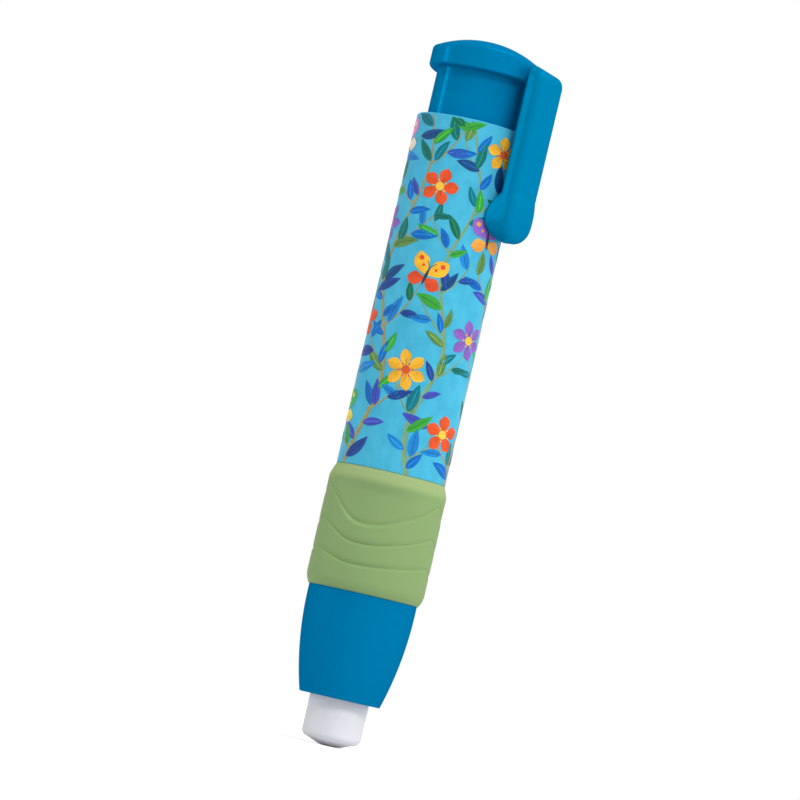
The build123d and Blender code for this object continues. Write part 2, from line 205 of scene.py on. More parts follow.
# %% [markdown]
# A large soft lamp in front and to the right, a weaker one at the right and one above make the right
# side the lighter one, and a faint one at the left keeps the left corner from going dull. All but
# the one above are left out of reflections, where they would draw broad patches. A narrow strip at
# the left stays in them: it draws the thin bright line that the photograph shows on the blue
# corners.

# %% Lamps
LAMP_AIM = Vector((0, 0, 60 * MM))


def soft_lamp(name, place, size, watts, in_gloss):
    """A soft lamp that looks at the middle of the pen. Left out of the gloss, it draws no patch."""
    data = bpy.data.lights.new(name, "AREA")
    data.shape = "RECTANGLE"
    data.size, data.size_y = size
    data.energy = watts
    lamp = bpy.data.objects.new(name, data)
    bpy.context.scene.collection.objects.link(lamp)
    lamp.location = place
    lamp.visible_glossy = in_gloss
    lamp.rotation_euler = (LAMP_AIM - lamp.location).to_track_quat("-Z", "Y").to_euler()


soft_lamp("key_lamp", (0.34, -0.66, 0.72), (0.35, 0.25), 4.5, False)
soft_lamp("right_lamp", (0.6, -0.2, 0.25), (0.3, 0.5), 1.35, False)
soft_lamp("top_lamp", (0.15, -0.22, 0.75), (0.4, 0.25), 1.5, True)
soft_lamp("left_lamp", (-0.6, 0.1, 0.2), (0.3, 0.5), 0.95, False)
soft_lamp("strip_lamp", (-0.52, -0.28, 0.16), (0.018, 0.45), 0.32, True)
print("lamps:", [lamp.name for lamp in bpy.data.lights])

# %% [markdown]
# The floor stays white out to the horizon by a faint glow of its own, which only the camera and
# reflections see. Near the pen, where the lamps already light the floor, the glow is weaker, so
# the soft shadow round the eraser is not washed out.

# %% Floor
FLOOR_SIZE = 3.0
FLOOR_COLOUR = (0.8, 0.8, 0.81, 1)
GLOW_NEAR, GLOW_FAR = 0.48, 0.74
NEAR_REACH, FAR_REACH = 6 * MM, 36 * MM

floor_shape = bmesh.new()
bmesh.ops.create_grid(floor_shape, x_segments=1, y_segments=1, size=FLOOR_SIZE / 2)
floor_mesh = bpy.data.meshes.new("floor")
floor_shape.to_mesh(floor_mesh)
floor_shape.free()
floor = bpy.data.objects.new("floor", floor_mesh)
bpy.context.scene.collection.objects.link(floor)

floor_finish = bpy.data.materials.new("floor_white")
floor_finish.use_nodes = True
floor_tree = floor_finish.node_tree
floor_tree.nodes.clear()
floor_paint = floor_tree.nodes.new("ShaderNodeBsdfDiffuse")
floor_paint.inputs["Color"].default_value = FLOOR_COLOUR
from_pen = floor_tree.nodes.new("ShaderNodeVectorMath")
from_pen.operation = "LENGTH"
floor_tree.links.new(object_place(floor_tree), from_pen.inputs[0])
distance = from_pen.outputs["Value"]
glow_range = ranged(floor_tree, distance, GLOW_NEAR, GLOW_FAR, NEAR_REACH, FAR_REACH)
glow_level = combined(floor_tree, "MULTIPLY", seen_directly(floor_tree), glow_range)
floor_glow = floor_tree.nodes.new("ShaderNodeEmission")
floor_glow.inputs["Color"].default_value = WHITE
floor_tree.links.new(glow_level, floor_glow.inputs["Strength"])
floor_sum = floor_tree.nodes.new("ShaderNodeAddShader")
floor_tree.links.new(floor_paint.outputs[0], floor_sum.inputs[0])
floor_tree.links.new(floor_glow.outputs[0], floor_sum.inputs[1])
floor_output = floor_tree.nodes.new("ShaderNodeOutputMaterial")
floor_tree.links.new(floor_sum.outputs[0], floor_output.inputs["Surface"])
floor_mesh.materials.append(floor_finish)
print("floor side in metres:", FLOOR_SIZE)

# %% [markdown]
# Most visible plastics here are one moulding each, in one colour, so their finish comes from
# small things: a faint unevenness in the colour, a soft gloss that changes a little from place
# to place, and a bump too fine to count. One helper makes such a finish on Object coordinates,
# which are metres in the pen's own frame, so a noise scale of 1000 gives marks about 1 mm wide.

# %% Moulded finish helper
GLOSS_SPREAD = 0.05


def new_finish(name, reflects):
    """A material with its node tree and its shader, which reflects so much."""
    finish = bpy.data.materials.new(name)
    finish.use_nodes = True
    surface = shader_of(finish)
    surface.inputs["Specular IOR Level"].default_value = reflects
    return finish, finish.node_tree, surface


def moulded(name, colour, gloss, patch_size, shade, grain_size, grain_depth, reflects=0.25):
    """A plastic or rubber finish. Its colour varies by shade over patches, and its bump is a fine
    grain. The sizes are in millimetres."""
    finish, tree, surface = new_finish(name, reflects)
    place = object_place(tree)
    patches = noise(tree, place, 1 / (patch_size * MM), detail=3)
    dark = [channel * (1 - shade) for channel in colour[:3]]
    light = [channel * (1 + shade) for channel in colour[:3]]
    tree.links.new(mixed(tree, patches, (*dark, 1), (*light, 1)), surface.inputs["Base Color"])
    roughness = ranged(tree, patches, gloss - GLOSS_SPREAD, gloss + GLOSS_SPREAD)
    tree.links.new(roughness, surface.inputs["Roughness"])
    bump = tree.nodes.new("ShaderNodeBump")
    bump.inputs["Strength"].default_value = 1.0
    bump.inputs["Distance"].default_value = grain_depth * MM
    grain = noise(tree, place, 1 / (grain_size * MM), detail=2)
    tree.links.new(grain, bump.inputs["Height"])
    tree.links.new(bump.outputs["Normal"], surface.inputs["Normal"])
    return finish


# %% [markdown]
# The inner mouldings are plain, uncoloured plastic, the ring in the nose is a grey rubber, and the
# clutch ring is turned from brass. The eraser is soft white vinyl. A little light goes into it
# and comes out again nearby, which takes the hardness off its edge.

# %% Finishes of the working parts
ERASER_GLOW_SHARE = 0.15
ERASER_GLOW_REACH = (1 * MM, 1 * MM, 1 * MM)

barrel_blue = moulded(
    "light_blue_plastic", srgb(70, 178, 210), gloss=0.4,
    patch_size=6, shade=0.03, grain_size=0.25, grain_depth=0.001,
)
natural = moulded(
    "natural_inner_plastic", srgb(226, 228, 226), gloss=0.35,
    patch_size=5, shade=0.03, grain_size=0.3, grain_depth=0.001,
)
ring_rubber = moulded(
    "grey_ring_rubber", srgb(150, 155, 160), gloss=0.6,
    patch_size=2, shade=0.05, grain_size=0.1, grain_depth=0.003,
)
eraser_vinyl = moulded(
    "eraser_vinyl", srgb(222, 222, 227), gloss=0.6, reflects=0.2,
    patch_size=2.5, shade=0.03, grain_size=0.18, grain_depth=0.006,
)
shader_of(eraser_vinyl).inputs["Subsurface Weight"].default_value = ERASER_GLOW_SHARE
shader_of(eraser_vinyl).inputs["Subsurface Radius"].default_value = ERASER_GLOW_REACH
steel = moulded(
    "spring_wire_steel", srgb(196, 198, 202), gloss=0.25, reflects=0.5,
    patch_size=1.5, shade=0.05, grain_size=0.1, grain_depth=0.0005,
)
brass = moulded(
    "turned_brass", srgb(214, 178, 104), gloss=0.28, reflects=0.5,
    patch_size=1.5, shade=0.06, grain_size=0.1, grain_depth=0.0005,
)
for metal in (steel, brass):
    shader_of(metal).inputs["Metallic"].default_value = 1.0
print("finishes:", [finish.name for finish in (barrel_blue, natural, ring_rubber, eraser_vinyl)])
print("metals:", steel.name, brass.name)

# %% [markdown]
# The blue mouldings are one colour of plastic, and the photograph shows no white in their gloss, not
# even on the edges, where a clear gloss goes pale. A small Metallic share and no clear gloss give
# that: the reflections take the plastic's own blue, as a pearl pigment makes them. The cap and the
# clip are the shiniest, and the nose cone, which the hand rubs, is softer.

# %% Blue plastics
PEARL = 0.12
EDGE_TINT = (0.0, 0.6, 0.9, 1.0)


def pearly(name, colour, gloss):
    """A moulded finish whose gloss is in its own colour."""
    finish = moulded(
        name, colour, gloss, reflects=0.0,
        patch_size=6, shade=0.03, grain_size=0.25, grain_depth=0.0003,
    )
    shader_of(finish).inputs["Metallic"].default_value = PEARL
    shader_of(finish).inputs["Specular Tint"].default_value = EDGE_TINT
    return finish


deep_blue = pearly("cap_blue_plastic", srgb(0, 118, 167), 0.13)
# The clip's blue is a little lighter than the cap's: painted light for the stronger light on the clip's
# outer face.
clip_blue = pearly("clip_blue_plastic", srgb(0, 121, 166), 0.13)
nose_blue = pearly("nose_blue_plastic", srgb(0, 114, 163), 0.36)
print("blue plastics:", deep_blue.name, clip_blue.name, nose_blue.name)

# %% [markdown]
# The shapes of the working parts are right as the frame gives them, so each keeps its mesh and only
# gets its finish. The printed film, the grip and the spring are dressed further down.

# %% Dress the working parts
def dress(finish, *names):
    """Puts a finish on CAD nodes, which keep their meshes."""
    for name in names:
        slots = nodes[name].material_slots
        if not slots:
            nodes[name].data.materials.append(finish)
        for slot in slots:
            slot.material = finish


dress(deep_blue, "push_cap")
dress(nose_blue, "nose_cone")
dress(clip_blue, "pocket_clip")
dress(barrel_blue, "barrel")
dress(natural, "mechanism_sleeve", "carrier_tube", "chuck_collar")
dress(natural, "chuck_jaw_1", "chuck_jaw_2", "chuck_jaw_3")
dress(ring_rubber, "friction_ring")
dress(eraser_vinyl, "eraser_stick")
dress(brass, "clutch_ring")
for name in sorted(nodes):
    low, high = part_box(name)
    print(name, [round(v / MM, 2) for v in low], [round(v / MM, 2) for v in high])

# %% [markdown]
# The pen's section is a triangle with full, round corners: three broad arcs for the faces, and a
# small arc for each corner. The grip and the print both follow it, so one function gives the point
# that lies so far along the outline from the middle of the front face, and so far outside it.
# Its numbers are the barrel's own, in millimetres.

# %% The pen's outline
FACE_RADIUS = 13.0
FACE_CENTRE_BEHIND = 4.324
FACE_SPREAD, FACE_BULGE = 4.25, 8
HALF_FACE = asin(FACE_SPREAD / FACE_BULGE)
CORNER_RADIUS = 5.0
CORNER_CENTRE_OUT = 4.907
FACE_LENGTH = 2 * HALF_FACE * FACE_RADIUS
CORNER_LENGTH = 2 * (radians(60) - HALF_FACE) * CORNER_RADIUS
THIRD = FACE_LENGTH + CORNER_LENGTH
ALL_ROUND = 3 * THIRD


def on_outline(along, proud):
    """The point so far along the barrel's outline, towards the clip, and so far outside it."""
    face, rest = divmod(along + FACE_LENGTH / 2, THIRD)
    facing = radians(120 * face - 90)
    centre_out, radius = -FACE_CENTRE_BEHIND, FACE_RADIUS
    angle = facing + (rest - FACE_LENGTH / 2) / FACE_RADIUS
    if rest > FACE_LENGTH:
        facing += radians(60)
        centre_out, radius = CORNER_CENTRE_OUT, CORNER_RADIUS
        angle = facing + (rest - FACE_LENGTH - CORNER_LENGTH / 2) / CORNER_RADIUS
    centre = Vector((cos(facing), sin(facing))) * centre_out
    return centre + Vector((cos(angle), sin(angle))) * (radius + proud)


print("round the barrel in millimetres:", round(ALL_ROUND, 2))

# %% [markdown]
# The grip is a soft sleeve with three ledges that run round it like slack folds: low near the middle
# of each face and high at the corners. A ledge's line is one formula, so the three lie side by side
# without a drawn curve. All sizes are in millimetres, read off the photograph.

# %% Grip sizes
GRIP_BOTTOM = 25.6
GRIP_TOP = 46.2
GRIP_PROUD = 0.72
GRIP_INSIDE = -0.74
LEDGES = ((30.0, 31.8), (33.5, 36.7), (36.65, 42.25))
LEDGE_SHIFT = 2.3
LEDGE_BEND = 2.5
LEDGE_CREST = 1.5
TOP_ROLL = (2.3, 0.82, 1.35)
BOTTOM_ROLL = (2.0, 0.7, 2.0)
NOTCH_ON_FACE = 0.38
NOTCH_ON_CORNER = 0.18
LIP_HEIGHT = 0.42
SLOPE_HEIGHT = 1.0
DISH_DEPTH = 0.5
DISH_HALF_WIDTH = 8.4
DISH_FULLNESS = 1.35
DISH_TOP = 44.2
DISH_EDGE = 2.0
DISH_FOOT_EDGE = 0.3
DISH_FOOT_SHARE = 0.2


def ease(value):
    """Runs smoothly from 0 to 1, and stays there outside that range."""
    value = min(max(value, 0), 1)
    return value * value * (3 - 2 * value)


def across_face(along):
    """Distance from the middle of the nearest face, along the outline."""
    return (along + THIRD / 2) % THIRD - THIRD / 2


def leaned(along):
    """Distance from where a face's ledges hang lowest, a little to the left of its middle."""
    aside = across_face(along)
    return aside + LEDGE_SHIFT * (1 + cos(tau * aside / THIRD)) / 2


def ledge_height(ledge, along):
    """Height of a ledge's line: the first number where it hangs lowest, the second at a corner."""
    low, high = LEDGES[ledge]
    share = (abs(leaned(along)) / (THIRD / 2)) ** LEDGE_BEND
    return low + (high - low) * (1 - (1 - min(share, 1)) ** LEDGE_CREST)


print("grip height in millimetres:", round(GRIP_TOP - GRIP_BOTTOM, 2), "ledges:", len(LEDGES))

# %% [markdown]
# Along each ledge's line the rubber is pinched in. It swells out again quickly below the line, which
# makes a lip, and more slowly above it. Over the top ledge each face is dished for a fingertip, and
# the top and bottom edges roll in to the barrel. All this is one number for each place: how far the
# grip stands out there.

# %% Grip surface
def rolled_edge(distance, roll):
    """How far an edge has rolled in, at a distance from the grip's end."""
    height, depth, roundness = roll
    share = min(max(1 - distance / height, 0), 1)
    return depth * share**roundness


def grip_stands(along, height):
    """How far the grip stands out from the barrel's outline at one place."""
    aside = leaned(along)
    face_share = ease(1 - abs(aside) / (THIRD / 2))
    notch = NOTCH_ON_CORNER + (NOTCH_ON_FACE - NOTCH_ON_CORNER) * face_share
    stands = GRIP_PROUD
    for ledge in range(len(LEDGES)):
        above = height - ledge_height(ledge, along)
        reach = SLOPE_HEIGHT if above > 0 else LIP_HEIGHT
        stands -= notch * max(1 - abs(above) / reach, 0) ** 2
    over_top_ledge = height - ledge_height(len(LEDGES) - 1, along)
    if over_top_ledge > 0:
        width_share = ease(DISH_FULLNESS * (1 - abs(aside) / DISH_HALF_WIDTH))
        top_share = ease((DISH_TOP - height) / DISH_EDGE)
        foot_share = ease(over_top_ledge / DISH_FOOT_EDGE + DISH_FOOT_SHARE)
        stands -= DISH_DEPTH * width_share * top_share * foot_share
    stands -= rolled_edge(GRIP_TOP - height, TOP_ROLL)
    stands -= rolled_edge(height - GRIP_BOTTOM, BOTTOM_ROLL)
    return stands


print("grip stands out at half height:", round(grip_stands(0, (GRIP_BOTTOM + GRIP_TOP) / 2), 2))

# %% [markdown]
# An even grid would cut across the ledges and blur them. Here the rows of points run along the
# ledges' lines instead, close together at a line and further apart between lines, so the lips stay
# crisp.

# %% Grip rows
ROWS_ABOVE_LINE = (0, 0.12, 0.3, 0.6, 1.0)
ROWS_BELOW_LINE = (0.7, 0.4, 0.25, 0.12, 0.04)
ROWS_BETWEEN = (4, 3, 3, 12)
ROWS_INSIDE = (GRIP_TOP, 40, 33, GRIP_BOTTOM)
GRIP_COLUMNS = 216


def grip_profile(along):
    """One upright slice of the grip's closed wall, up the outside and down the inside. Each point
    says how far out and how high it is."""
    lines = [ledge_height(ledge, along) for ledge in range(len(LEDGES))]
    lines = [GRIP_BOTTOM, *lines, GRIP_TOP]
    heights = []
    for band, extra in enumerate(ROWS_BETWEEN):
        foot, head = lines[band], lines[band + 1]
        low, high = foot + ROWS_ABOVE_LINE[-1], head - ROWS_BELOW_LINE[0]
        heights += [foot + row for row in ROWS_ABOVE_LINE]
        heights += [low + (high - low) * (step + 1) / (extra + 1) for step in range(extra)]
        heights += [head - row for row in ROWS_BELOW_LINE]
    heights.append(GRIP_TOP)
    outside = [(grip_stands(along, height), height) for height in heights]
    inside = [(GRIP_INSIDE, height) for height in ROWS_INSIDE]
    return outside + inside


PROFILE_ROWS = len(grip_profile(0))
print("rows in one slice of the grip:", PROFILE_ROWS)

# %% [markdown]
# The grip's top edge is painted paler: a painted highlight for the light that falls on its
# upward-facing rolled edge. The green goes over into the paler one within about a millimetre, by
# height, on top of the moulded finish.

# %% Painted highlight on the grip's top edge
# The paler green is a painted highlight on the top edge, not a colour of the rubber.
GRIP_GREEN = srgb(133, 161, 105)
PAINTED_HIGHLIGHT_GREEN = srgb(149, 171, 115)
HIGHLIGHT_FROM, HIGHLIGHT_FULL = 43.4, 44.7


def painted_highlight_above(finish, colour, start, full):
    """Blends a finish into a paler colour, a painted highlight, between two heights in millimetres."""
    tree = finish.node_tree
    base = shader_of(finish).inputs["Base Color"]
    parts = tree.nodes.new("ShaderNodeSeparateXYZ")
    tree.links.new(object_place(tree), parts.inputs["Vector"])
    rise = ranged(tree, parts.outputs["Z"], 0.0, 1.0, start * MM, full * MM, "SMOOTHSTEP")
    tree.links.new(mixed(tree, rise, base.links[0].from_socket, colour), base)


grip_finish = moulded(
    "soft_green_rubber", GRIP_GREEN, gloss=0.62, reflects=0.2,
    patch_size=3, shade=0.02, grain_size=0.12, grain_depth=0.004,
)
# Painted highlight: the top edge is lighter where light falls on its upward-facing roll.
painted_highlight_above(grip_finish, PAINTED_HIGHLIGHT_GREEN, HIGHLIGHT_FROM, HIGHLIGHT_FULL)
print("grip finish:", grip_finish.name)

# %% [markdown]
# A flat grid of quads is wrapped into the closed sleeve: its columns go round the barrel, and its
# rows go up the outside and down the inside. One level of subdivision then rounds the lips as soft
# rubber does. The sleeve takes the place of the CAD's plainer one.

# %% Grip piece
MERGE_DISTANCE = 0.001 * MM


def face_outwards(shape, name):
    """Turns a closed shape's faces outwards, and prints how many of its edges are open."""
    bmesh.ops.recalc_face_normals(shape, faces=shape.faces)
    print("open edges on the " + name + ":", sum(not edge.is_manifold for edge in shape.edges))


def piece_from(shape, name, finish, body):
    """Makes an object of a finished bmesh, smooth shaded, and tells the frame where it rides."""
    mesh = bpy.data.meshes.new(name)
    shape.to_mesh(mesh)
    shape.free()
    mesh.materials.append(finish)
    mesh.polygons.foreach_set("use_smooth", [True] * len(mesh.polygons))
    piece = bpy.data.objects.new(name, mesh)
    bpy.context.scene.collection.objects.link(piece)
    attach(piece, body)
    return piece


grip_shape = bmesh.new()
bmesh.ops.create_grid(grip_shape, x_segments=GRIP_COLUMNS, y_segments=PROFILE_ROWS, size=1)
slices = [grip_profile(ALL_ROUND * column / GRIP_COLUMNS) for column in range(GRIP_COLUMNS)]
for vert in grip_shape.verts:
    column = round((vert.co.x + 1) / 2 * GRIP_COLUMNS) % GRIP_COLUMNS
    row = round((vert.co.y + 1) / 2 * PROFILE_ROWS) % PROFILE_ROWS
    out, height = slices[column][row]
    spot = on_outline(ALL_ROUND * column / GRIP_COLUMNS, out)
    vert.co = Vector((spot.x, spot.y, height)) * MM
bmesh.ops.remove_doubles(grip_shape, verts=grip_shape.verts, dist=MERGE_DISTANCE)
face_outwards(grip_shape, "grip")
grip = piece_from(grip_shape, "soft_grip", grip_finish, "shell")
finer = grip.modifiers.new("finer", "SUBSURF")
finer.levels = 1
finer.render_levels = 1
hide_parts("grip_sleeve")
print("grip faces before subdivision:", len(grip.data.polygons))

# %% [markdown]
# The return spring is a coil of steel wire between the fixed inner sleeve and the flange of the carrier
# tube. It gets shorter when the cap is pushed, which the CAD's solid coil can't do, so a coil of the
# same size takes its place. It rides with the cap.

# %% Return spring
WIRE_RADIUS = 0.45
COIL_RADIUS = 6.5
COIL_FOOT, COIL_TOP = 50.02, 70.98
COIL_TURNS = 7
STEPS_A_TURN = 32
WIRE_SIDES = 10

coil_shape = bmesh.new()
coil_steps = COIL_TURNS * STEPS_A_TURN
bmesh.ops.create_grid(coil_shape, x_segments=coil_steps, y_segments=WIRE_SIDES, size=1)
wire_rise = COIL_TOP - COIL_FOOT - 2 * WIRE_RADIUS
for vert in coil_shape.verts:
    share = (vert.co.x + 1) / 2
    turn = tau * COIL_TURNS * share
    around = pi * (vert.co.y + 1)
    out = COIL_RADIUS + WIRE_RADIUS * cos(around)
    height = COIL_FOOT + WIRE_RADIUS + wire_rise * share + WIRE_RADIUS * sin(around)
    vert.co = Vector((out * cos(turn), out * sin(turn), height)) * MM
bmesh.ops.remove_doubles(coil_shape, verts=coil_shape.verts, dist=MERGE_DISTANCE)
bmesh.ops.holes_fill(coil_shape, edges=coil_shape.edges, sides=WIRE_SIDES)
face_outwards(coil_shape, "coil")
coil = piece_from(coil_shape, "return_coil", steel, "push_unit")
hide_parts("return_spring")
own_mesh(coil)

# %% [markdown]
# The barrel's film carries a painted garden of this lesson's own design: six vines with leaves, and
# blossoms and butterflies between them, on a light blue ground. A picture file would tie the print
# to one resolution. Here each brush stroke is a thin ribbon of quads instead, laid out flat in
# millimetres and then wrapped onto the outline a few hundredths of a millimetre above the film, so
# it bends with the barrel.

# %% Painted finishes
GROUND_DARK = srgb(62, 168, 202)
GROUND_LIGHT = srgb(76, 184, 216)
GROUND_MARKS = (480, 480, 300)
STROKE_MARKS = (0.9, 5.0, 1.0)
MARK_LOW, MARK_HIGH = 0.3, 0.7
WORN_DARK, WORN_LIGHT = 0.72, 1.22
MARK_ROUGHNESS = 0.6
FILM_GLOSS = (0.38, 0.46)
PAINT_GLOSS = (0.4, 0.5)
PRINT_REFLECTS = 0.2


def brush_marks(tree, coordinates, stretch, detail):
    """A noise from 0 to 1, whose marks are stretched as a brush leaves them."""
    stretched = tree.nodes.new("ShaderNodeMapping")
    stretched.inputs["Scale"].default_value = stretch
    tree.links.new(coordinates, stretched.inputs["Vector"])
    marks = noise(tree, stretched.outputs["Vector"], 1.0, detail, MARK_ROUGHNESS)
    return ranged(tree, marks, 0.0, 1.0, MARK_LOW, MARK_HIGH)


film, film_tree, film_surface = new_finish("painted_film", PRINT_REFLECTS)
film_marks = brush_marks(film_tree, object_place(film_tree), GROUND_MARKS, 5)
ground = mixed(film_tree, film_marks, GROUND_DARK, GROUND_LIGHT)
film_tree.links.new(ground, film_surface.inputs["Base Color"])
film_gloss = ranged(film_tree, film_marks, *FILM_GLOSS)
film_tree.links.new(film_gloss, film_surface.inputs["Roughness"])
dress(film, "printed_wrap")

paint, paint_tree, paint_surface = new_finish("painted_strokes", PRINT_REFLECTS)
paint_uv = paint_tree.nodes.new("ShaderNodeUVMap")
paint_uv.uv_map = "strokes"
paint_marks = brush_marks(paint_tree, paint_uv.outputs["UV"], STROKE_MARKS, 3)
paint_colour = paint_tree.nodes.new("ShaderNodeAttribute")
paint_colour.attribute_name = "paint"
worn = ranged(paint_tree, paint_marks, WORN_DARK, WORN_LIGHT)
brushed = mixed(paint_tree, 1.0, paint_colour.outputs["Color"], worn, "MULTIPLY")
paint_tree.links.new(brushed, paint_surface.inputs["Base Color"])
paint_gloss = ranged(paint_tree, paint_marks, *PAINT_GLOSS)
paint_tree.links.new(paint_gloss, paint_surface.inputs["Roughness"])
print("painted finishes:", film.name, paint.name)

# %% [markdown]
# A stroke has a spine, a half width at each of its points, and two shades of one colour for its two
# sides, as a brush loaded with uneven paint leaves it. Each kind of stroke lies on its own layer, a
# few thousandths of a millimetre over the one before, so none of them flickers through another. The
# paint's colour and the brush's direction are kept on the faces.

# %% Brush strokes
PRINT_BOTTOM = 46.25
PRINT_TOP = 106.25
STEM_LAYER = 0.015
LEAF_LAYER = 0.022
FLOWER_LAYER = 0.042
LAYER_STEP = 0.004
FLATTENED = 0.002 * MM
MARK_SHIFT = 50
MARKS_A_POINT = 0.5
MARKS_A_MILLIMETRE = 2
PETAL_STEP = 0.5
PETAL_ROUNDNESS = 0.85
LEAST_PETAL_STEPS = 6
THINNEST = 0.01
DOT_STEPS = 6
USUAL_SPREAD, SLIGHT_SPREAD, DOT_SPREAD = 0.16, 0.05, 0.08
brush = random.Random(11)


def new_print():
    """An empty bmesh with the layers that hold each stroke's colour and its brush coordinates."""
    shape = bmesh.new()
    shape.loops.layers.float_color.new("paint")
    shape.loops.layers.uv.new("strokes")
    return shape


def stroke(shape, spine, half_widths, colours, layer, across=4):
    """A ribbon of quads along a line of flat points, wrapped round the barrel. The first colour is
    on its left side, and the second on its right."""
    last = len(spine) - 1
    made = bmesh.ops.create_grid(shape, x_segments=last, y_segments=across, size=1)["verts"]
    shift = brush.uniform(0, MARK_SHIFT)
    marks = {}
    for vert in made:
        at = round((vert.co.x + 1) / 2 * last)
        side = vert.co.y
        before, after = spine[max(at - 1, 0)], spine[min(at + 1, last)]
        left = Vector((before[1] - after[1], after[0] - before[0])).normalized()
        flat = Vector(spine[at]) + left * (side * half_widths[at])
        height = min(max(flat.y, PRINT_BOTTOM), PRINT_TOP)
        spot = on_outline(flat.x, layer)
        vert.co = Vector((spot.x, spot.y, height)) * MM
        marks[vert] = (at, side, side * half_widths[at])
    paint_layer = shape.loops.layers.float_color["paint"]
    stroke_layer = shape.loops.layers.uv["strokes"]
    for face in {face for vert in made for face in vert.link_faces}:
        for loop in face.loops:
            at, side, offset = marks[loop.vert]
            share = (side + 1) / 2
            loop[paint_layer] = [l * share + r * (1 - share) for l, r in zip(*colours)]
            brush_place = (at * MARKS_A_POINT + shift, offset * MARKS_A_MILLIMETRE + shift)
            loop[stroke_layer].uv = brush_place


def finish_print(shape, name):
    """Removes the faces that were squeezed flat at the film's ends and makes the piece."""
    bmesh.ops.dissolve_degenerate(shape, dist=FLATTENED, edges=shape.edges)
    print(name, "faces:", len(shape.faces))
    return piece_from(shape, name, paint, "shell")


def tones(colour, spread=USUAL_SPREAD):
    """Two shades of a colour for the two sides of a stroke."""
    base = srgb(*colour)
    change = brush.uniform(0.4, 1) * spread * brush.choice((-1, 1))
    light = [min(channel * (1 + change), 1) for channel in base[:3]]
    dark = [channel * (1 - change) for channel in base[:3]]
    return (*light, 1), (*dark, 1)


def bent_line(start, heading, bend, length, steps):
    """Points of a line that leaves a place at a heading and turns by bend along its length."""
    points = [start]
    for step in range(steps):
        angle = heading + bend * (step + 0.5) / steps
        x, y = points[-1]
        points.append((x + cos(angle) * length / steps, y + sin(angle) * length / steps))
    return points


def petal(shape, start, heading, bend, length, half_width, colours, layer, fullness=0.8):
    """A leaf or petal: pointed at its root, widest past its middle, and rounded at its end."""
    steps = max(LEAST_PETAL_STEPS, round(length / PETAL_STEP))
    spine = bent_line(start, heading, bend, length, steps)
    widths = []
    for step in range(steps):
        swell = sin(pi * (step / steps) ** fullness) ** PETAL_ROUNDNESS
        widths.append(half_width * swell + THINNEST)
    stroke(shape, spine, [*widths, THINNEST], colours, layer)
    return spine


def dot(shape, middle, radius, colour, layer):
    """A round spot of paint."""
    turns = [pi * step / DOT_STEPS for step in range(DOT_STEPS + 1)]
    spine = [(middle[0] - radius * cos(turn), middle[1]) for turn in turns]
    widths = [max(radius * sin(turn), THINNEST) for turn in turns]
    stroke(shape, spine, widths, tones(colour, DOT_SPREAD), layer)


def faded(colour, factor):
    """A darker or lighter version of a colour given as 0 to 255."""
    return tuple(min(channel * factor, 255) for channel in colour)


print("printed height in millimetres:", PRINT_TOP - PRINT_BOTTOM)

# %% [markdown]
# The blossoms and butterflies are placed first, on a staggered lattice with a little wander, as a
# repeat print is drawn. The vines then climb between them, and a leaf is left out where it would
# cover one of them.

# %% Places of the blossoms and butterflies
VINES = 6
VINE_SPACING = ALL_ROUND / VINES
VINE_START = 2.6
MOTIF_ROWS = ((54.0, 70.5, 87.0, 102.0), (62.0, 78.5, 95.0))
MOTIF_ROOM = 3.3
WANDER_ALONG, WANDER_UP = 1, 1.2
ROUND_BLOSSOM, BUTTERFLY = 0, 1

motifs = []
for column in range(VINES):
    for row, height in enumerate(MOTIF_ROWS[column % 2]):
        along = VINE_START + (column + 0.5) * VINE_SPACING
        along += brush.uniform(-WANDER_ALONG, WANDER_ALONG)
        height += brush.uniform(-WANDER_UP, WANDER_UP)
        motifs.append((along, height, (column + 2 * row) % 3))


def clear_of_motifs(place, room):
    """Whether a flat place is far enough from every blossom and butterfly."""
    for along, height, kind in motifs:
        aside = (place[0] - along + ALL_ROUND / 2) % ALL_ROUND - ALL_ROUND / 2
        if aside**2 + (place[1] - height) ** 2 < room**2:
            return False
    return True


print("blossoms and butterflies:", len(motifs))

# %% [markdown]
# Each vine sways up the barrel and gets thinner, with shoots on its left and right in turn. Leaves
# stand on both sides of every stem, at a slant, in blues and greens, and each has a midrib. The
# vines are drawn one after the other from one seeded brush, so the print is the same each time.

# %% Vines and leaves
STEM_COLOURS = ((120, 160, 120), (150, 150, 100), (110, 150, 95), (180, 140, 80))
LEAF_COLOURS = (
    (18, 105, 190), (30, 130, 205), (18, 105, 190), (35, 70, 145), (15, 115, 130), (58, 160, 60),
    (58, 160, 60), (25, 105, 75), (20, 110, 100), (95, 135, 70), (65, 80, 180), (25, 75, 130),
)
STEP = 0.5
STEM_HALF_WIDTH, STEM_LOSS = 0.42, 0.26
SHOOT_HALF_WIDTH, SHOOT_LOSS = 0.2, 0.13
FIRST_SHOOT, SHOOT_EVERY, NO_SHOOT_ABOVE = 5, 14, 8
VINE_SWAY, VINE_WAVE = (1.3, 2.2), (26, 38)
VINE_LEAF_SPACING = (2.3, 2.9)
SHOOT_SLANT, SHOOT_LENGTH, SHOOT_BEND = (48, 66), (7.0, 10.5), (15, 50)
SHOOT_LEAF_SPACING = 2.3
LEAF_LENGTH, LEAF_SLANT, LEAF_BEND = (3.3, 5.2), (32, 58), (-30, 30)
LEAF_HALF_WIDTH_SHARE = (0.15, 0.19)
RIB_HALF_WIDTH = 0.05
RIB_PALE, RIB_DARK = 1.5, 0.6


